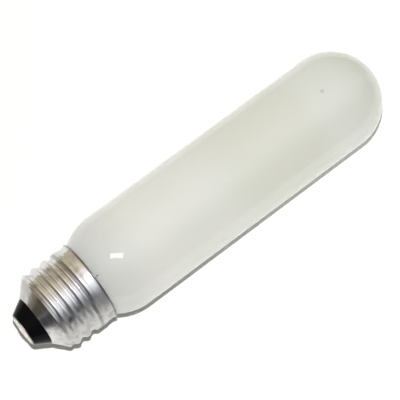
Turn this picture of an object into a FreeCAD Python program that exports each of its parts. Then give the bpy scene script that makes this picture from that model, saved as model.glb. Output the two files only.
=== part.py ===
import FreeCAD
import Part
import math
import os

# Tubular light bulb with a medium Edison screw cap, lying on its side.
# Lengths are millimetres and angles are degrees.
# The bulb's axis is X, and its dome points to +X. Z is up.
# The origin is on that axis, in the plane of the centre contact's outer face.
# The glass tube rests on the plane z = -tube_diameter / 2.

# Glass bulb
tube_diameter = 31.75
dome_end_x = 134.4
shoulder_arc_radius = 17.7
neck_arc_radius = 6.5
neck_clearance = 0.48
neck_end_x = 12.6
neck_end_wall = 1.1
rim_gap = 0.5

# Stem hollow and exhaust tube, at the end of the glass that faces the cap
stem_bore_diameter = 6.8
stem_hollow_depth = 19.0
flare_length = 7.5
exhaust_tube_diameter = 3.4
exhaust_tip_x = 8.2

# Screw shell, pressed from one sheet
sheet_thickness = 0.25
cap_height = 25.0
shell_end_x = 4.85
shell_end_diameter = 16.3
shell_cone_angle = 48.0
cone_bend_depth = 0.15
skirt_length = 3.5
skirt_step_depth = 0.2
skirt_step_length = 1.0
lip_length = 0.9
lip_flare = 0.42

# Round thread, rolled into the shell
thread_diameter = 26.3
thread_depth = 0.83
thread_pitch = 3.629
groove_end_angle = 105.7
runout_turns = 0.27
runout_gap = 0.9

# Points that the shell's faces are drawn through, around the axis and along it
points_around = 24
points_along = 50

# Insulator, cast from black glass into the shell's end
nose_rim_width = 0.3
nose_edge_radius = 0.4
insulator_web = 2.6
insulator_fill_gap = 0.7
dish_diameter = 10.0

# Centre contact, an eyelet pressed from sheet
contact_diameter = 10.1
contact_thickness = 0.45
contact_edge_radius = 0.2
contact_seat_depth = 0.2
contact_seat_clearance = 0.05
eyelet_diameter = 3.0
eyelet_bore_diameter = 2.4
eyelet_length = 1.7

# Solder on the centre contact
solder_diameter = 6.2
solder_height = 0.5
solder_plug_length = 1.0

# Cement ring that bonds the neck into the shell
cement_length = 3.0
cement_recess = 1.0

# Lead wires and the side wire's weld
wire_diameter = 0.3
wire_gap = 0.05
wire_bend_radius = 0.9
side_wire_angle = 105.7
side_wire_turn_gap = 0.9
side_wire_reach = 1.3
centre_wire_angle = 285.7
centre_wire_straight_gap = 1.2
centre_wire_cover = 0.2
weld_radius = 0.35
weld_offset = 0.1

# Worked out from the sizes above
tube_radius = tube_diameter / 2
thread_radius = thread_diameter / 2
skirt_radius = thread_radius - skirt_step_depth
shell_end_radius = shell_end_diameter / 2
cone_slope = math.tan(math.radians(shell_cone_angle))
contact_radius = contact_diameter / 2
eyelet_radius = eyelet_diameter / 2
wire_radius = wire_diameter / 2
press_x = neck_end_x + stem_hollow_depth
lead_radius = (stem_bore_diameter + exhaust_tube_diameter) / 4

# The thread's wave is two tangent arcs of one radius, a crest and a groove
wave_root = thread_radius - thread_depth
wave_radius = ((thread_pitch / 2) ** 2 + thread_depth ** 2) / (4 * thread_depth)

# The groove runs out short of the skirt's step
skirt_x = cap_height - skirt_length
groove_end_x = skirt_x - runout_gap - runout_turns * thread_pitch
cone_root_x = shell_end_x + (wave_root - shell_end_radius) / cone_slope

# The lip is one arc, tangent to the skirt
lip_radius = (lip_length ** 2 + lip_flare ** 2) / (2 * lip_flare)
lip_mouth_radius = skirt_radius + lip_radius - math.sqrt((lip_radius + sheet_thickness) ** 2 - lip_length ** 2)

# The neck passes through the thread's grooves, and its arc is placed to keep the gap at the rim
neck_radius = wave_root - sheet_thickness - neck_clearance
shoulder_swing = math.degrees(math.acos(1 - (tube_radius - neck_radius) / (shoulder_arc_radius + neck_arc_radius)))
neck_arc_height = lip_mouth_radius - rim_gap - neck_radius
neck_arc_x = cap_height - math.sqrt(neck_arc_radius ** 2 - (neck_arc_radius - neck_arc_height) ** 2)
shoulder_end_x = neck_arc_x + (shoulder_arc_radius + neck_arc_radius) * math.sin(math.radians(shoulder_swing))

origin = FreeCAD.Vector(0, 0, 0)
along_axis = FreeCAD.Vector(1, 0, 0)


def at(x, radius):
    """A point of an outline in the XY plane."""
    return FreeCAD.Vector(x, radius, 0)


def around(x, radius, angle):
    """A point at an angle about the axis, counted from +Y towards +Z."""
    turn = math.radians(angle)
    return FreeCAD.Vector(x, radius * math.cos(turn), radius * math.sin(turn))


def line(start, end):
    return Part.LineSegment(start, end).toShape()


def arc(centre, radius, start_angle, end_angle):
    """An arc in the XY plane."""
    points = []
    for angle in (start_angle, (start_angle + end_angle) / 2, end_angle):
        turn = math.radians(angle)
        points.append(centre + at(radius * math.cos(turn), radius * math.sin(turn)))
    return Part.Arc(*points).toShape()


def bent(points, radius):
    """Straight runs through the points, with a tangent arc at each corner."""
    edges = []
    start = points[0]
    for corner, following in zip(points[1:-1], points[2:]):
        back = (start - corner).normalize()
        ahead = (following - corner).normalize()
        half_angle = back.getAngle(ahead) / 2
        bisector = (back + ahead).normalize()
        setback = radius / math.tan(half_angle)
        middle = corner + bisector * (radius / math.sin(half_angle) - radius)
        edges.append(line(start, corner + back * setback))
        edges.append(Part.Arc(corner + back * setback, middle, corner + ahead * setback).toShape())
        start = corner + ahead * setback
    edges.append(line(start, points[-1]))
    return edges


def ends(item):
    """The first and last point of an edge, in the direction that it was drawn, or of a point."""
    if isinstance(item, FreeCAD.Vector):
        return item, item
    return item.valueAt(item.FirstParameter), item.valueAt(item.LastParameter)


def closed(*items):
    """A closed wire through points and edges in order, with straight lines over the gaps."""
    edges = []
    for item, following in zip(items, items[1:] + items[:1]):
        if not isinstance(item, FreeCAD.Vector):
            edges.append(item)
        last = ends(item)[1]
        first = ends(following)[0]
        if last.distanceToPoint(first) > 1e-6:
            edges.append(line(last, first))
    return Part.Wire(edges)


def turned(*items):
    """The solid that a closed outline makes when it turns about the axis."""
    return Part.Face(closed(*items)).revolve(origin, along_axis, 360)


def wire_along(edges):
    """A round wire along a path of lines and arcs."""
    path = Part.Wire(edges)
    start, heading = edges[0].valueAt(edges[0].FirstParameter), edges[0].tangentAt(edges[0].FirstParameter)
    section = Part.Wire(Part.makeCircle(wire_radius, start, heading))
    return path.makePipeShell([section], True, False)


def glass_bulb():
    """The sealed bulb: dome, tube, shoulder and neck, with the stem hollow that faces the cap."""
    dome = arc(at(dome_end_x - tube_radius, 0), tube_radius, 0, 90)
    shoulder_centre = at(shoulder_end_x, tube_radius - shoulder_arc_radius)
    shoulder = arc(shoulder_centre, shoulder_arc_radius, 90, 90 + shoulder_swing)
    neck_centre = at(neck_arc_x, neck_radius + neck_arc_radius)
    neck = arc(neck_centre, neck_arc_radius, shoulder_swing - 90, -90)

    end_radius = neck_end_wall / 2
    neck_end = arc(at(neck_end_x + end_radius, neck_radius - end_radius), end_radius, 90, 270)

    bore = stem_bore_diameter / 2
    flare_rise = neck_radius - neck_end_wall - bore
    flare_radius = (flare_length ** 2 + flare_rise ** 2) / (2 * flare_rise)
    flare_swing = math.degrees(math.acos(1 - flare_rise / flare_radius))
    flare_end_x = neck_end_x + end_radius + flare_length
    flare = arc(at(flare_end_x, bore + flare_radius), flare_radius, 270 - flare_swing, 270)

    tube = exhaust_tube_diameter / 2
    tip = arc(at(exhaust_tip_x + tube, 0), tube, 90, 180)
    return turned(dome, shoulder, neck, neck_end, flare, at(press_x, bore), at(press_x, tube), tip)


def shell_end_point(inset):
    """The cone's small end, on the sheet's outer face or inset from it at right angles."""
    slope = math.radians(shell_cone_angle)
    return at(shell_end_x + inset * math.sin(slope), shell_end_radius - inset * math.cos(slope))


def eased(share):
    """A smooth rise from 0 to 1, held outside that range."""
    share = min(max(share, 0), 1)
    return share ** 2 * (3 - 2 * share)


def groove_depth(x, angle):
    """The depth of the helical groove: the wave of tangent arcs, eased out past the groove's end."""
    turns = (x - groove_end_x) / thread_pitch
    turn_here = (angle - groove_end_angle) / 360
    groove_turn = turn_here + round(turns - turn_here)
    away = abs(turns - groove_turn) * thread_pitch
    if away < thread_pitch / 4:
        depth = thread_depth - wave_radius + math.sqrt(wave_radius ** 2 - away ** 2)
    else:
        depth = wave_radius - math.sqrt(wave_radius ** 2 - (thread_pitch / 2 - away) ** 2)
    return depth * (1 - eased(groove_turn / runout_turns))


def sheet_radius(x, angle):
    """The sheet's outer face: cone, thread, skirt and lip, with a rounded bend from cone to thread."""
    cone = shell_end_radius + (x - shell_end_x) * cone_slope
    body = thread_radius - groove_depth(x, angle) - skirt_step_depth * eased((x - skirt_x) / skirt_step_length)
    past_skirt = max(x - cap_height + lip_length, 0)
    body += lip_radius - math.sqrt(lip_radius ** 2 - past_skirt ** 2)
    overlap = max(4 * cone_bend_depth - abs(cone - body), 0)
    return min(cone, body) - overlap ** 2 / (16 * cone_bend_depth)


def sheet_face(inset):
    """The sheet's outer face, or the one inset from it at right angles, as one smooth surface."""
    small = 0.001
    rows = []
    for step in range(points_around):
        angle = groove_end_angle + 180 + 360 * step / points_around
        row = []
        for index in range(points_along + 1):
            x = shell_end_x + (cap_height - shell_end_x) * index / points_along
            radius = sheet_radius(x, angle)
            slope = math.atan2(radius - sheet_radius(x - small, angle), small)
            row.append(around(x + inset * math.sin(slope), radius - inset * math.cos(slope), angle))
        rows.append(row)
    surface = Part.BSplineSurface()
    surface.interpolate(rows + rows[:1])
    return surface.toShape()


def rims(face):
    """The round edges at a sheet face's two ends, from the cone's small end to the lip."""
    return sorted([edge for edge in face.Edges if len(edge.Vertexes) == 1], key=lambda edge: edge.CenterOfMass.x)


def sewn(faces):
    """The solid that the faces enclose."""
    skin = Part.makeShell(faces)
    skin.sewShape()
    return Part.makeSolid(skin)


def screw_shell(outer, inner):
    """The sheet between its two faces."""
    faces = [outer, inner]
    for outer_rim, inner_rim in zip(rims(outer), rims(inner)):
        faces += Part.makeRuledSurface(outer_rim, inner_rim).Faces
    return sewn(faces)


def insulator():
    """The black glass: a cone that holds the eyelet, cast against the shell's inner face."""
    face_x = contact_thickness - contact_seat_depth
    seat_radius = contact_radius + contact_seat_clearance
    nose_corner = at(face_x, seat_radius + nose_rim_width)
    nose = bent([at(face_x, seat_radius), nose_corner, shell_end_point(0)], nose_edge_radius)
    mouth = shell_end_point(sheet_thickness)
    fill_x = cone_root_x - insulator_fill_gap
    fill_radius = mouth.y + (fill_x - mouth.x) * cone_slope
    web_x = contact_thickness + insulator_web
    dish = [at(fill_x, fill_radius), at(web_x, dish_diameter / 2), at(web_x, eyelet_radius)]
    return turned(at(contact_thickness, eyelet_radius), at(contact_thickness, seat_radius), *nose, mouth, *dish)


def centre_contact():
    """The eyelet: a disc with a rounded edge, and a barrel in the insulator's hole."""
    bore = eyelet_bore_diameter / 2
    edge = arc(at(contact_edge_radius, contact_radius - contact_edge_radius), contact_edge_radius, 180, 90)
    barrel_end = contact_thickness + eyelet_length
    barrel = [at(contact_thickness, eyelet_radius), at(barrel_end, eyelet_radius), at(barrel_end, bore)]
    return turned(at(0, bore), edge, at(contact_thickness, contact_radius), *barrel)


def contact_solder(centre_wire):
    """The drop on the eyelet and its plug in the bore, around the end of the centre wire."""
    drop = solder_diameter / 2
    bore = eyelet_bore_diameter / 2
    sphere = (drop ** 2 + solder_height ** 2) / (2 * solder_height)
    swing = math.degrees(math.asin(drop / sphere))
    cap = arc(at(sphere - solder_height, 0), sphere, 180, 180 - swing)
    plug = [at(0, bore), at(solder_plug_length, bore), at(solder_plug_length, 0)]
    return turned(cap, *plug).cut(centre_wire)


def centre_lead_wire():
    """From the stem's press past the exhaust tube to the axis, and through the eyelet."""
    bend_x = contact_thickness + insulator_web + centre_wire_straight_gap
    points = [at(press_x, lead_radius), at(exhaust_tip_x, lead_radius), at(bend_x, 0), at(centre_wire_cover, 0)]
    lead = wire_along(bent(points, wire_bend_radius))
    lead.rotate(origin, along_axis, centre_wire_angle)
    return lead


def side_lead_wire():
    """From the stem's press round the neck's end, and up the outside of the neck past the rim."""
    clear = wire_gap + wire_radius
    turn_x = neck_end_x - side_wire_turn_gap
    outside = neck_radius + clear
    points = [at(press_x, lead_radius), at(turn_x, lead_radius), at(turn_x, outside), at(neck_arc_x, outside)]
    neck_centre = at(neck_arc_x, neck_radius + neck_arc_radius)
    on_neck = arc(neck_centre, neck_arc_radius - clear, -90, shoulder_swing - 90)
    shoulder_centre = at(shoulder_end_x, tube_radius - shoulder_arc_radius)
    reach = shoulder_end_x - cap_height - side_wire_reach
    stop = 90 + math.degrees(math.asin(reach / (shoulder_arc_radius + clear)))
    on_shoulder = arc(shoulder_centre, shoulder_arc_radius + clear, 90 + shoulder_swing, stop)
    lead = wire_along(bent(points, wire_bend_radius) + [on_neck, on_shoulder])
    lead.rotate(origin, along_axis, side_wire_angle)
    return lead


def side_weld(shell, side_wire):
    """The bead between the side wire and the shell's lip."""
    centre = around(cap_height + weld_offset, lip_mouth_radius + weld_offset, side_wire_angle)
    bead = Part.makeSphere(weld_radius, centre)
    return bead.cut(shell).cut(side_wire)


def cement_ring(inner_face, glass, side_wire):
    """The ring between the neck and the shell, which takes the form of both."""
    shell_inside = sewn([inner_face] + [Part.Face(Part.Wire(rim)) for rim in rims(inner_face)])
    end_x = cap_height - cement_recess
    start_x = end_x - cement_length
    inner = neck_radius - neck_end_wall
    ring = turned(at(start_x, inner), at(start_x, thread_radius), at(end_x, thread_radius), at(end_x, inner))
    return ring.common(shell_inside).cut(glass).cut(side_wire)


glass = glass_bulb()
inner_face = sheet_face(sheet_thickness)
shell = screw_shell(sheet_face(0), inner_face)
side_wire = side_lead_wire()
centre_wire = centre_lead_wire()

parts = {
    "glass_bulb": glass,
    "screw_shell": shell,
    "insulator": insulator(),
    "centre_contact": centre_contact(),
    "contact_solder": contact_solder(centre_wire),
    "cement_ring": cement_ring(inner_face, glass, side_wire),
    "centre_lead_wire": centre_wire,
    "side_lead_wire": side_wire,
    "side_weld": side_weld(shell, side_wire),
}

os.makedirs("parts", exist_ok=True)
for name, shape in parts.items():
    shape.exportStep(os.path.join("parts", name + ".step"))
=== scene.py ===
import math
import bmesh
import bpy
import numpy as np
from mathutils import Matrix, Vector


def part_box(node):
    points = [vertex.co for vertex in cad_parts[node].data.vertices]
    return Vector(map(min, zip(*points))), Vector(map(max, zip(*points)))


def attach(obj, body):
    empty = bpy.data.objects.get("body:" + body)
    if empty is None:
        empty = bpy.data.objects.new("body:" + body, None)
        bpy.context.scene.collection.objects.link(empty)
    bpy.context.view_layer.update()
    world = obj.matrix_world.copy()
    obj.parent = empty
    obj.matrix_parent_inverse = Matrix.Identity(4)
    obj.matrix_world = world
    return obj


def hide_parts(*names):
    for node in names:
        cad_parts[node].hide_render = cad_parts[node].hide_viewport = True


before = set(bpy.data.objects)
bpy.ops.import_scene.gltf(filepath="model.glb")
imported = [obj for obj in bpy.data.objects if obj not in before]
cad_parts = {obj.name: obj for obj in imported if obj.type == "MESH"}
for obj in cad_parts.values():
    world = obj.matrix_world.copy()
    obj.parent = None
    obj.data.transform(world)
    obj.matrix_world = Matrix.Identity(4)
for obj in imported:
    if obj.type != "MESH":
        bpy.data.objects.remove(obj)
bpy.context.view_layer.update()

# Frosted tubular bulb on a pale floor. Blender's units are metres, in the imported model's own frame:
# the bulb's axis is X, its dome points to +X, and Z is up. The sizes of the pieces are in millimetres.
millimetre = 0.001
glassLow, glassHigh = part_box("glass_bulb")
floorHeight = glassLow[2]
tubeRadius = glassHigh[2] / millimetre
domeTip = glassHigh[0] / millimetre
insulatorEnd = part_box("insulator")[1][0] / millimetre
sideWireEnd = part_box("side_lead_wire")[1][0] / millimetre
capHeight = 25.0  # from the centre contact to the outer face's end at the lip
mergeDistance = 1e-7  # in metres, closes the poles of a mesh
spotCore = 0.35  # share of a spot's radius over which its tone is whole


# A shader socket that takes part in arithmetic
class Sock:
    def __init__(self, tree, socket):
        self.tree = tree
        self.socket = socket

    def calc(self, operation, other=None, swap=False):
        node = self.tree.nodes.new("ShaderNodeMath")
        node.operation = operation
        terms = [self] if other is None else [self, other]
        for place, term in enumerate(reversed(terms) if swap else terms):
            feed(self.tree, node.inputs[place], term)
        return Sock(self.tree, node.outputs[0])

    def __add__(self, other):
        return self.calc("ADD", other)

    def __radd__(self, other):
        return self.calc("ADD", other, True)

    def __sub__(self, other):
        return self.calc("SUBTRACT", other)

    def __rsub__(self, other):
        return self.calc("SUBTRACT", other, True)

    def __mul__(self, other):
        return self.calc("MULTIPLY", other)

    def __rmul__(self, other):
        return self.calc("MULTIPLY", other, True)

    def __truediv__(self, other):
        return self.calc("DIVIDE", other)

    def __rtruediv__(self, other):
        return self.calc("DIVIDE", other, True)

    def __pow__(self, other):
        return self.calc("POWER", other)


def feed(tree, place, value):  # links a socket or sets a plain value
    if isinstance(value, Sock):
        tree.links.new(value.socket, place)
    else:
        place.default_value = value


def setStops(ramp, stops):  # a ramp's places and colours
    while len(ramp.elements) < len(stops):
        ramp.elements.new(0.5)
    for element, (position, colour) in zip(ramp.elements, stops):
        element.position = position
        element.color = (*colour, 1)


# One node tree. add() makes any node: its settings first, then the values or links of its sockets
class Shader:
    def __init__(self, tree):
        self.tree = tree
        tree.nodes.clear()

    def add(self, kind, settings=None, inputs=None, output=0):
        node = self.tree.nodes.new(kind)
        for name, value in (settings or {}).items():
            if name == "stops":
                setStops(node.color_ramp, value)
            else:
                setattr(node, name, value)
        for name, value in (inputs or {}).items():
            feed(self.tree, node.inputs[name], value)
        self.last = node
        return Sock(self.tree, node.outputs[output]) if node.outputs else None

    def outputs(self, *names):  # several outputs of the node that was made last
        return [Sock(self.tree, self.last.outputs[name]) for name in names]

    def smooth(self, value, low, high):  # 0 below low, 1 above high, smooth between
        inputs = {0: value, 1: low, 2: high}
        return self.add("ShaderNodeMapRange", {"interpolation_type": "SMOOTHSTEP"}, inputs)

    def mixColour(self, share, first, second):
        return self.add("ShaderNodeMix", {"data_type": "RGBA"}, {0: share, 6: first, 7: second}, 2)

    def place(self):  # the point on the object in millimetres, as a vector and as x, y and z
        spot = self.add("ShaderNodeTexCoord", output=3)
        grown = self.add("ShaderNodeVectorMath", {"operation": "SCALE"}, {0: spot, 3: 1 / millimetre})
        self.add("ShaderNodeSeparateXYZ", inputs={0: grown})
        return grown, self.outputs(0, 1, 2)

    def noise(self, vector, scale, detail, rough):
        inputs = {"Vector": vector, "Scale": scale, "Detail": detail, "Roughness": rough}
        return self.add("ShaderNodeTexNoise", {"noise_dimensions": "3D"}, inputs)

    def near(self, spot, point, radius):  # 1 around a point, fading to 0 at the radius
        away = self.add("ShaderNodeVectorMath", {"operation": "DISTANCE"}, {0: spot, 1: point}, 1)
        return 1 - self.smooth(away, radius * spotCore, radius)

    def bump(self, strength, distance, height):
        inputs = {"Strength": strength, "Distance": distance, "Height": height}
        return self.add("ShaderNodeBump", inputs=inputs)

    def seenRays(self):  # 1 for each kind of ray: from the camera, in a reflection, and through glass
        self.add("ShaderNodeLightPath")
        return self.outputs("Is Camera Ray", "Is Glossy Ray", "Is Transmission Ray")


# A Principled material: plain values on its own sockets, and paint() links what changes over the surface
def material(name, settings, paint=None):
    made = bpy.data.materials.new(name)
    made.use_nodes = True
    shader = Shader(made.node_tree)
    links = paint(shader) if paint else {}
    surface = shader.add("ShaderNodeBsdfPrincipled", inputs={**settings, **links})
    shader.add("ShaderNodeOutputMaterial", inputs={"Surface": surface})
    return made


# Joins a grid of points (along, around, 3) with its neighbours into a surface.
# It closes around, and also along where the outline is a closed ring.
def meshFromGrid(name, points, closedAlong, look, nodes):
    along, around = points.shape[:2]
    index = np.arange(along * around).reshape(along, around)
    right = np.roll(index, -1, axis=1)
    above, aboveRight = np.roll(index, -1, axis=0), np.roll(right, -1, axis=0)
    quads = np.stack([index, above, aboveRight, right], axis=-1)
    if not closedAlong:
        quads = quads[:-1]
    quads = quads.reshape(-1, 4)
    mesh = bpy.data.meshes.new(name)
    mesh.vertices.add(along * around)
    mesh.vertices.foreach_set("co", points.reshape(-1))
    mesh.loops.add(quads.size)
    mesh.loops.foreach_set("vertex_index", quads.reshape(-1).astype(np.int32))
    mesh.polygons.add(len(quads))
    mesh.polygons.foreach_set("loop_start", (np.arange(len(quads)) * 4).astype(np.int32))
    mesh.update(calc_edges=True)
    work = bmesh.new()
    work.from_mesh(mesh)
    bmesh.ops.remove_doubles(work, verts=work.verts, dist=mergeDistance)
    bmesh.ops.recalc_face_normals(work, faces=work.faces)
    work.to_mesh(mesh)
    work.free()
    mesh.polygons.foreach_set("use_smooth", np.ones(len(mesh.polygons), dtype=bool))
    mesh.materials.append(look)
    piece = bpy.data.objects.new(name, mesh)
    bpy.context.scene.collection.objects.link(piece)
    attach(piece, "root")
    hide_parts(*nodes)
    print(name, len(mesh.vertices), "points")


# Turns an outline about the X axis: y = radius * cos(angle) and z = radius * sin(angle).
# x and radius are one value for each point of the outline, or a grid with one for each angle too.
def turnedGrid(x, radius, turns):
    angle = np.linspace(0, 2 * np.pi, turns, endpoint=False)
    radius = np.broadcast_to(radius if radius.ndim == 2 else radius[:, None], (len(x), turns))
    across = np.broadcast_to(x if x.ndim == 2 else x[:, None], radius.shape)
    return np.stack([across, radius * np.cos(angle), radius * np.sin(angle)], axis=-1)


# An arc of an outline: its centre plus radius times the cosine and the sine of angles, given in degrees
def roundRun(centre, radius, start, end, count):
    swing = np.radians(np.linspace(start, end, count))
    return np.stack([centre[0] + radius * np.cos(swing), centre[1] + radius * np.sin(swing)], axis=-1)


def straight(first, last, count):  # a straight stretch of an outline
    return np.linspace(first, last, count)


# Glass bulb: dome, tube, shoulder and neck, with the stem's bore at the cap's end
glass = {
    "shoulderArc": 17.7, "neckArc": 6.5, "neckRadius": 11.59, "neckArcX": 22.15,
    "neckEndX": 12.6, "neckEndWall": 1.1, "flareLength": 8.0, "stemBore": 3.4, "pressX": 31.6,
    "turns": 192, "domePoints": 72, "sidePoints": 60, "shoulderPoints": 40, "neckPoints": 16,
    "endPoints": 10, "borePoints": 6,
    "cloudNoise": (0.035, 2.0, 0.5), "cloudRange": (0.35, 0.65),  # a noise is its scale, detail and roughness
    "cloudTones": ((0.602, 0.611, 0.573, 1), (0.62, 0.622, 0.588, 1)),
    "capShadeFade": (26.0, 46.0), "capShadeTone": (0.535, 0.542, 0.522, 1),
    "warmRise": (64.0, 84.0), "warmFall": (103.0, 113.0), "warmTone": (0.587, 0.595, 0.535, 1),
    "domeShadeRise": (108.0, 134.0), "domeShadeTone": (0.55, 0.56, 0.505, 1),
    "speck": (113.86, 0.13, 15.87), "speckRadius": 0.9, "speckShare": 0.35,
    "speckTone": (0.25, 0.26, 0.24, 1),
}


# Arcs and straight runs from the dome's tip to the stem's press, as x and radius.
# The shoulder and the neck are two arcs that touch, so the angle they both swing follows from their drop.
def glassOutline():
    shoulderArc, neckArc, neckRadius = glass["shoulderArc"], glass["neckArc"], glass["neckRadius"]
    swing = math.degrees(math.acos(1 - (tubeRadius - neckRadius) / (shoulderArc + neckArc)))
    shoulderX = glass["neckArcX"] + (shoulderArc + neckArc) * math.sin(math.radians(swing))
    domeX = domeTip - tubeRadius
    dome = roundRun((domeX, 0), tubeRadius, 0, 90, glass["domePoints"])
    side = straight((domeX, tubeRadius), (shoulderX, tubeRadius), glass["sidePoints"])[1:-1]
    centre = (shoulderX, tubeRadius - shoulderArc)
    shoulder = roundRun(centre, shoulderArc, 90, 90 + swing, glass["shoulderPoints"])
    centre = (glass["neckArcX"], neckRadius + neckArc)
    neck = roundRun(centre, neckArc, swing - 90, -90, glass["neckPoints"])[1:]
    wall = glass["neckEndWall"] / 2
    end = roundRun((glass["neckEndX"] + wall, neckRadius - wall), wall, 90, 270, glass["endPoints"])
    boreStart = (glass["neckEndX"] + glass["flareLength"], glass["stemBore"])
    bore = straight(boreStart, (glass["pressX"], glass["stemBore"]), glass["borePoints"])
    return np.concatenate([dome, side, shoulder, neck, end, bore, [[glass["pressX"], 0]]]) * millimetre


def paintGlass(shader):
    spot, (x, y, z) = shader.place()
    cloud = shader.smooth(shader.noise(spot, *glass["cloudNoise"]), *glass["cloudRange"])
    # painted shade: the glass is darker near the cap
    capShade = 1 - shader.smooth(x, *glass["capShadeFade"])
    warmBand = shader.smooth(x, *glass["warmRise"]) * (1 - shader.smooth(x, *glass["warmFall"]))
    # painted shade: darker and a little yellower towards the dome
    domeShade = shader.smooth(x, *glass["domeShadeRise"])
    speck = shader.near(spot, glass["speck"], glass["speckRadius"]) * glass["speckShare"]
    body = shader.mixColour(cloud, *glass["cloudTones"])
    body = shader.mixColour(capShade, body, glass["capShadeTone"])
    body = shader.mixColour(warmBand, body, glass["warmTone"])
    body = shader.mixColour(domeShade, body, glass["domeShadeTone"])
    body = shader.mixColour(speck, body, glass["speckTone"])
    return {"Base Color": body}


frostedGlass = material("frostedGlass", {
    "Roughness": 0.6, "IOR": 1.45, "Coat Weight": 1.0, "Coat Roughness": 0.02, "Coat IOR": 1.5,
    "Diffuse Roughness": 1.0, "Subsurface Weight": 0.35, "Subsurface Scale": 0.03,
    "Subsurface Radius": (1.0, 1.0, 0.85),
}, paintGlass)
outline = glassOutline()
points = turnedGrid(outline[:, 0], outline[:, 1], glass["turns"])
meshFromGrid("frostedBulb", points, False, frostedGlass, ["glass_bulb"])

# Screw shell: cone, rolled thread, skirt and lip of one sheet
screw = {
    "sheet": 0.25, "endX": 4.85, "endRadius": 8.15, "coneAngle": 48.0, "bend": 0.15,
    "threadRadius": 13.15, "depth": 0.83, "pitch": 3.629, "grooveEndAngle": 105.7, "runoutTurns": 0.27,
    "runoutGap": 0.9, "skirtLength": 3.5, "skirtStep": 0.2, "skirtStepLength": 1.0,
    "lipLength": 0.9, "lipFlare": 0.42, "turns": 288, "outerPoints": 230, "innerPoints": 50,
}
screwFinish = {
    "rough": 0.10, "wornNoise": (0.45, 4.0, 0.6), "wornRange": (0.35, 0.7),
    "wornTones": ((0.73, 0.725, 0.72, 1), (0.60, 0.595, 0.585, 1)),
    "wornRoughRange": (0.4, 0.7), "wornRough": 0.08,
    "lineStretch": (3.5, 0.12, 0.12), "lineNoise": (1.2, 3.0, 0.55), "lineRough": 0.05, "lineHeight": 0.6,
    "blotchNoise": (0.22, 3.0, 0.6), "blotchRange": (0.5, 0.68), "blotchShare": 0.6,
    "blotchTone": (0.40, 0.385, 0.36, 1),
    "threadStart": (8.2, 9.4), "threadEnd": (20.6, 21.6), "coneFade": (8.4, 9.2),
    "frontRoughRange": (4.0, 10.0), "frontRough": 0.2,
    "highlightRise": (-7.5, -3.5), "highlightFall": (1.5, 5.5), "highlightShare": 0.5, "highlightTone": (1.0, 0.985, 0.985, 1),
    "frontShadeRange": (9.0, 12.0), "frontShade": 0.2, "backShadeRange": (11.0, 12.8), "backShade": 0.25,
    "coneShadeRange": (3.0, 7.0), "coneShade": 0.3, "shadeTone": (0.0, 0.0, 0.0, 1),
    "runoutRise": (19.3, 19.9), "runoutFall": (20.3, 20.9), "runoutShare": 0.6,
    "runoutTone": (0.22, 0.21, 0.20, 1),
    "lipShadeRange": (24.5, 24.8), "lipShadeShare": 0.6, "lipShadeTone": (0.10, 0.095, 0.085, 1),
    "darkSpots": [((12.3, -9.0, 9.5), 1.7, 0.85), ((16.0, -8.1, 10.3), 1.5, 0.6)],  # point, radius and share
    "darkSpotTone": (0.12, 0.13, 0.12, 1),
    "marksPerTurn": 3, "markHeight": 0.07, "markFadeRange": (3.5, 8.5), "markFade": 0.75,
}


def eased(share):  # a smooth rise from 0 to 1: share squared times 3 less two shares
    share = np.clip(share, 0, 1)
    return share ** 2 * (3 - 2 * share)


# The wave of groove and crest is two arcs of one radius that touch a quarter pitch from the groove's middle.
# That radius is half the pitch, squared, plus the depth squared, over four depths. Past the thread's end
# the groove fades out.
def grooveDepth(x, angle):
    pitch, depth = screw["pitch"], screw["depth"]
    wave = ((pitch / 2) ** 2 + depth ** 2) / (4 * depth)
    endX = capHeight - screw["skirtLength"] - screw["runoutGap"] - screw["runoutTurns"] * pitch
    turns = (x - endX) / pitch
    here = (angle - screw["grooveEndAngle"]) / 360
    groove = here + np.round(turns - here)
    away = np.abs(turns - groove) * pitch
    low = depth - wave + np.sqrt(wave ** 2 - np.minimum(away, wave) ** 2)
    high = wave - np.sqrt(wave ** 2 - (pitch / 2 - away).clip(0, wave) ** 2)
    return np.where(away < pitch / 4, low, high) * (1 - eased(groove / screw["runoutTurns"]))


# The lower of the cone and the body, less their overlap squared, which rounds the bend between them.
# The body is the thread's radius less the groove and the skirt's step, plus the lip, which is one arc.
def sheetRadius(x, angle):
    cone = screw["endRadius"] + (x - screw["endX"]) * math.tan(math.radians(screw["coneAngle"]))
    skirt = eased((x - capHeight + screw["skirtLength"]) / screw["skirtStepLength"]) * screw["skirtStep"]
    lip = (screw["lipLength"] ** 2 + screw["lipFlare"] ** 2) / (2 * screw["lipFlare"])
    past = np.clip(x - capHeight + screw["lipLength"], 0, None)
    body = screw["threadRadius"] - grooveDepth(x, angle) - skirt + lip - np.sqrt(lip ** 2 - past ** 2)
    overlap = np.clip(4 * screw["bend"] - np.abs(cone - body), 0, None)
    return np.minimum(cone, body) - overlap ** 2 / (16 * screw["bend"])


# The sheet's face over x and angle, moved inwards at right angles to its slope: x plus the inset times
# the slope's sine, and the radius less the inset times its cosine
def sheetFace(inset, count):
    step = 0.001  # short enough for the slope
    angle = np.linspace(0, 360, screw["turns"], endpoint=False)[None, :]
    x = np.linspace(screw["endX"], capHeight, count)[:, None]
    radius = sheetRadius(x, angle)
    slope = np.arctan2(radius - sheetRadius(x - step, angle), step)
    return x + inset * np.sin(slope), radius - inset * np.cos(slope)


def shellGrid():  # the outer face from the small end to the lip, and the inner face back
    outX, outRadius = sheetFace(0, screw["outerPoints"])
    inX, inRadius = sheetFace(screw["sheet"], screw["innerPoints"])
    x = np.concatenate([outX, inX[::-1]]) * millimetre
    return turnedGrid(x, np.concatenate([outRadius, inRadius[::-1]]) * millimetre, screw["turns"])
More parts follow.
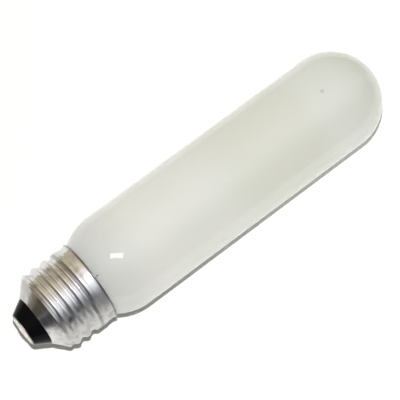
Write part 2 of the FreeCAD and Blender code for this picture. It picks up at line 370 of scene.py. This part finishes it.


# The sheet's tone: worn, with a painted highlight where the thread faces up, painted shade at the front, at
# the back and on the cone's back, darker past the thread's end, painted shade at the lip's edge, and two dark
# spots
def sheetTone(shader, spot, x, y, worn, threaded):
    finish = screwFinish
    tone = shader.mixColour(shader.smooth(worn, *finish["wornRange"]), *finish["wornTones"])
    blotch = shader.smooth(shader.noise(spot, *finish["blotchNoise"]), *finish["blotchRange"])
    tone = shader.mixColour(blotch * finish["blotchShare"], tone, finish["blotchTone"])
    # painted highlight: lighter on the thread where it faces up
    highlightBand = shader.smooth(y, *finish["highlightRise"]) * (1 - shader.smooth(y, *finish["highlightFall"]))
    tone = shader.mixColour(threaded * highlightBand * finish["highlightShare"], tone, finish["highlightTone"])
    # painted shade: darker towards the front, the back and on the cone's back
    cone = (1 - shader.smooth(x, *finish["coneFade"])) * shader.smooth(y, *finish["coneShadeRange"])
    front = shader.smooth(0 - y, *finish["frontShadeRange"])
    back = shader.smooth(y, *finish["backShadeRange"])
    paintedShade = front * finish["frontShade"] + back * finish["backShade"] + cone * finish["coneShade"]
    tone = shader.mixColour(paintedShade, tone, finish["shadeTone"])
    runout = shader.smooth(x, *finish["runoutRise"]) * (1 - shader.smooth(x, *finish["runoutFall"]))
    tone = shader.mixColour(runout * finish["runoutShare"], tone, finish["runoutTone"])
    # painted shade of the gap at the lip's edge
    lip = shader.smooth(x, *finish["lipShadeRange"])
    tone = shader.mixColour(lip * finish["lipShadeShare"], tone, finish["lipShadeTone"])
    # two dark spots on the thread
    for point, radius, share in finish["darkSpots"]:
        tone = shader.mixColour(shader.near(spot, point, radius) * share, tone, finish["darkSpotTone"])
    return tone


def paintShell(shader):
    finish = screwFinish
    spot, (x, y, z) = shader.place()
    worn = shader.noise(spot, *finish["wornNoise"])
    streak = shader.add("ShaderNodeMapping", inputs={"Vector": spot, "Scale": finish["lineStretch"]})
    lines = shader.noise(streak, *finish["lineNoise"])
    threaded = shader.smooth(x, *finish["threadStart"]) * (1 - shader.smooth(x, *finish["threadEnd"]))
    wornRough = shader.smooth(worn, *finish["wornRoughRange"]) * finish["wornRough"]
    frontRough = shader.smooth(0 - y, *finish["frontRoughRange"]) * finish["frontRough"]
    rough = finish["rough"] + wornRough + lines * finish["lineRough"] + frontRough
    turns = z.calc("ARCTAN2", y) - x * (2 * math.pi / screw["pitch"])  # the same along a line of the thread
    marks = (turns * finish["marksPerTurn"]).calc("SINE") * threaded  # the fine marks that the rollers leave
    marks = marks * (1 - shader.smooth(0 - y, *finish["markFadeRange"]) * finish["markFade"])
    height = lines * finish["lineHeight"] + marks
    return {"Base Color": sheetTone(shader, spot, x, y, worn, threaded), "Roughness": rough,
            "Normal": shader.bump(1.0, finish["markHeight"] * millimetre, height)}


shellMetal = material("shellMetal", {"Metallic": 1.0}, paintShell)
meshFromGrid("rolledShell", shellGrid(), True, shellMetal, ["screw_shell"])

# Insulator: the black glass cone that holds the contact
nose = {
    "faceX": 0.25, "cornerRadius": 5.4, "edge": 0.24, "seatX": 0.45, "seatRadius": 5.1, "boreRadius": 1.5,
    "innerX": 3.05, "innerRadius": 5.0, "turns": 128, "edgePoints": 7, "sidePoints": 12,
    "shortfall": 0.05,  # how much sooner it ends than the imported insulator
}


# A ring of x and radius: the contact's seat, the face, its rounded edge, the side up to the shell's end, and
# the part behind the sheet. A point of the edge is the corner, moved down the face by (1 - share) squared and
# along the side by share squared.
def insulatorOutline():
    cone = math.radians(screw["coneAngle"])
    mouthX = screw["endX"] + screw["sheet"] * math.sin(cone)
    mouthRadius = screw["endRadius"] - screw["sheet"] * math.cos(cone)
    fillX = insulatorEnd - nose["shortfall"]
    fillRadius = mouthRadius + (fillX - mouthX) * math.tan(cone)
    corner = np.array([nose["faceX"], nose["cornerRadius"]])
    end = np.array([screw["endX"], screw["endRadius"]])
    ahead = (end - corner) / np.linalg.norm(end - corner)
    share = np.linspace(0, 1, nose["edgePoints"])[:, None]
    edge = corner + nose["edge"] * (np.array([0, -1]) * (1 - share) ** 2 + ahead * share ** 2)
    seatX, seatRadius, bore = nose["seatX"], nose["seatRadius"], nose["boreRadius"]
    seat = [(seatX, bore), (seatX, seatRadius), (nose["faceX"], seatRadius)]
    side = straight(edge[-1], end, nose["sidePoints"])[1:]
    fill = [(mouthX, mouthRadius), (fillX, fillRadius)]
    inside = [(nose["innerX"], nose["innerRadius"]), (nose["innerX"], bore)]
    return np.concatenate([seat, edge, side, fill, inside]) * millimetre


blackGlass = material("blackGlass", {
    "Base Color": (0.003, 0.003, 0.0035, 1), "Roughness": 0.1, "IOR": 1.5, "Specular IOR Level": 0.05,
})
outline = insulatorOutline()
points = turnedGrid(outline[:, 0], outline[:, 1], nose["turns"])
meshFromGrid("blackNose", points, True, blackGlass, ["insulator"])

# Centre contact, solder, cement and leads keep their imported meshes
contact = {
    "marksNoise": (1.1, 4.0, 0.65), "marksRange": (0.44, 0.66), "markHeight": 0.3, "markStrength": 0.6,
    "tones": ((1.0, 0.93, 0.88, 1), (0.34, 0.29, 0.25, 1)), "rough": 0.28, "markRough": 0.2,
    "rimReflectRange": (4.2, 5.0), "rimReflectShare": 0.6, "rimReflectTone": (0.30, 0.27, 0.24, 1),
}
wire = {"sealRange": (0.7, 0.4), "tone": (0.42, 0.42, 0.40, 1), "sealTone": (0.10, 0.10, 0.10, 1)}


def paintContact(shader):
    spot, (x, y, z) = shader.place()
    marks = shader.noise(spot, *contact["marksNoise"])
    # painted reflection: the rounded rim is darker, as where it reflects dark surroundings
    rimReflect = shader.smooth((y * y + z * z) ** 0.5, *contact["rimReflectRange"])
    tone = shader.mixColour(shader.smooth(marks, *contact["marksRange"]), *contact["tones"])
    tone = shader.mixColour(rimReflect * contact["rimReflectShare"], tone, contact["rimReflectTone"])
    return {"Base Color": tone, "Roughness": contact["rough"] + marks * contact["markRough"],
            "Normal": shader.bump(contact["markStrength"], contact["markHeight"] * millimetre, marks)}


def paintWire(shader):  # darker where the glass is sealed on it, at the end in the stem's press
    spot, (x, y, z) = shader.place()
    low, high = [sideWireEnd - back for back in wire["sealRange"]]
    return {"Base Color": shader.mixColour(shader.smooth(x, low, high), wire["tone"], wire["sealTone"])}


contactMetal = material("contactMetal", {"Metallic": 1.0}, paintContact)
solder = material("solder", {"Metallic": 1.0}, paintContact)
# the cement's dark tone is partly painted shade in the gap between the lip and the glass
cement = material("cement", {"Base Color": (0.22, 0.20, 0.165, 1), "Roughness": 0.9})
leadWire = material("leadWire", {"Metallic": 0.8, "Roughness": 0.5}, paintWire)
finishes = {"centre_contact": contactMetal, "contact_solder": solder, "cement_ring": cement,
            "centre_lead_wire": leadWire, "side_lead_wire": leadWire, "side_weld": solder}
for nodeName, finish in finishes.items():
    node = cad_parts[nodeName]
    node.data.materials.clear()
    node.data.materials.append(finish)
print("pieces and materials done")

# Camera, in metres and degrees: it looks at the target, moved to the right and up in the picture
cameraSet = {"azimuth": -38.14, "elevation": 70.26, "distance": 0.6234, "lens": 184.9, "sensor": 36,
             "nearClip": 0.01, "target": (0.0642, 0, 0), "right": 0.002228, "up": 0.001496}
azimuth, elevation = math.radians(cameraSet["azimuth"]), math.radians(cameraSet["elevation"])
rightWay = Vector((math.cos(azimuth), math.sin(azimuth), 0))
lookWay = Vector((-math.sin(azimuth) * math.cos(elevation), math.cos(azimuth) * math.cos(elevation),
                  -math.sin(elevation)))
upWay = rightWay.cross(lookWay)
target = Vector(cameraSet["target"]) + rightWay * cameraSet["right"] + upWay * cameraSet["up"]


def aimed(spot, aim):  # stands at spot and looks at aim, with the picture's up kept
    back = (spot - aim).normalized()
    side = upWay.cross(back).normalized()
    turn = Matrix((side, back.cross(side), back)).transposed().to_4x4()
    return Matrix.Translation(spot) @ turn


camera = bpy.data.objects.new("camera", bpy.data.cameras.new("camera"))
camera.data.lens = cameraSet["lens"]
camera.data.sensor_width = cameraSet["sensor"]
camera.data.clip_start = cameraSet["nearClip"]
camera.matrix_world = aimed(target - lookWay * cameraSet["distance"], target)
bpy.context.scene.collection.objects.link(camera)
bpy.context.scene.camera = camera

# Lamps, in metres and watts. Each stands off its aim in the camera's direction, swung by right and up.
# The key lamp makes the shadow on the floor, and the window lamp the reflection on the glass.
lampDistance = 0.65
lamps = {
    "keyLamp": {"aim": cameraSet["target"], "right": 0.0, "up": 0.1075, "width": 0.014, "height": 0.014,
                "power": 4.25, "hidden": "visible_glossy"},
    "windowLamp": {"aim": (0.0334, -0.003, 0.0155), "right": -0.01, "up": 0.21, "width": 0.31,
                   "height": 0.115, "power": 0.85, "hidden": "visible_diffuse"},
}


def addLamp(name, lamp):
    data = bpy.data.lights.new(name, "AREA")
    data.shape = "RECTANGLE"
    data.size, data.size_y = lamp["width"], lamp["height"]
    data.energy = lamp["power"]
    made = bpy.data.objects.new(name, data)
    aim = Vector(lamp["aim"])
    way = (-lookWay + rightWay * lamp["right"] + upWay * lamp["up"]).normalized()
    made.matrix_world = aimed(aim + way * lampDistance, aim)
    setattr(made, lamp["hidden"], False)
    bpy.context.scene.collection.objects.link(made)


for lampName, lamp in lamps.items():
    addLamp(lampName, lamp)

# Floor, with corners in metres. It is seen a little lighter than it is lit, most of all towards the dome,
# so that it is white beside the shadow. This is painted light, which also makes the shadow lighter towards
# the dome, as if light came through the frosted glass.
floorSet = {
    "west": -0.06, "east": 0.20, "south": -0.095, "north": 0.12, "colour": (0.88, 0.88, 0.87, 1),
    "glowRange": (15.0, 135.0), "glowAtCap": (0.015, 0.016, 0.012, 1), "glowAtDome": (0.2, 0.2, 0.185, 1),
}


def paintFloor(shader):
    spot, (x, y, z) = shader.place()
    towardsDome = shader.smooth(x, *floorSet["glowRange"])
    glow = shader.mixColour(towardsDome, floorSet["glowAtCap"], floorSet["glowAtDome"])
    cameraRay, glossyRay, throughRay = shader.seenRays()
    seen = cameraRay.calc("MAXIMUM", glossyRay).calc("MAXIMUM", throughRay)
    return {"Emission Color": shader.mixColour(seen, (0, 0, 0, 1), glow)}


paleFloor = material("paleFloor", {
    "Base Color": floorSet["colour"], "Roughness": 0.9, "Specular IOR Level": 0.0, "Emission Strength": 1.0,
}, paintFloor)
corners = [("west", "south"), ("east", "south"), ("east", "north"), ("west", "north")]
floorMesh = bpy.data.meshes.new("floor")
floorMesh.from_pydata([(floorSet[x], floorSet[y], floorHeight) for x, y in corners], [], [(0, 1, 2, 3)])
floorMesh.materials.append(paleFloor)
floor = bpy.data.objects.new("floor", floorMesh)
bpy.context.scene.collection.objects.link(floor)

# Room: what the metal reflects is one ramp of tones round the bulb, from the front at -Y to the back at +Y,
# times one along it, from the cap's side to the dome's. The camera sees white, and matt surfaces the ambient.
roomSet = {
    "strength": 1.35, "ambient": (0.225, 0.222, 0.20, 1), "axisGuard": 0.0001,
    "round": [(0.0, (0.23, 0.23, 0.232)), (0.04, (0.165, 0.166, 0.18)), (0.085, (0.22, 0.222, 0.245)),
              (0.15, (0.45, 0.47, 0.50)), (0.22, (0.74, 0.77, 0.82)), (0.30, (0.94, 0.96, 1.01)),
              (0.50, (1.03, 1.0, 1.03)), (0.575, (0.98, 0.94, 0.95)), (0.755, (0.72, 0.655, 0.53)),
              (0.93, (0.47, 0.42, 0.32))],
    "along": [(0.0, (0.14, 0.14, 0.147)), (0.03, (0.155, 0.155, 0.16)), (0.07, (0.38, 0.375, 0.37)),
              (0.16, (0.64, 0.635, 0.63)), (0.25, (0.82, 0.815, 0.81)), (0.55, (1, 1, 1)), (0.65, (1, 1, 1)),
              (0.76, (0.88, 0.88, 0.88)), (0.92, (0.78, 0.78, 0.78)), (1.0, (0.6, 0.6, 0.6))],
}


def paintRoom(shader):
    way = shader.add("ShaderNodeTexCoord", output=0)
    shader.add("ShaderNodeSeparateXYZ", inputs={0: way})
    along, side, height = shader.outputs(0, 1, 2)
    across = side / (side * side + height * height + roomSet["axisGuard"]) ** 0.5
    around = shader.add("ShaderNodeValToRGB", {"stops": roomSet["round"]}, {0: across * 0.5 + 0.5})
    ends = shader.add("ShaderNodeValToRGB", {"stops": roomSet["along"]}, {0: along * 0.5 + 0.5})
    walls = shader.add("ShaderNodeVectorMath", {"operation": "MULTIPLY"}, {0: around, 1: ends})
    walls = shader.add("ShaderNodeVectorMath", {"operation": "SCALE"}, {0: walls, 3: roomSet["strength"]})
    cameraRay, glossyRay, throughRay = shader.seenRays()
    lit = shader.mixColour(glossyRay, roomSet["ambient"], walls)
    shown = shader.mixColour(cameraRay.calc("MAXIMUM", throughRay), lit, (1, 1, 1, 1))
    light = shader.add("ShaderNodeBackground", inputs={"Color": shown, "Strength": 1.0})
    shader.add("ShaderNodeOutputWorld", inputs={"Surface": light})


world = bpy.data.worlds.new("room")
world.use_nodes = True
bpy.context.scene.world = world
paintRoom(Shader(world.node_tree))
bpy.context.scene.view_settings.view_transform = "Standard"
print("studio done")
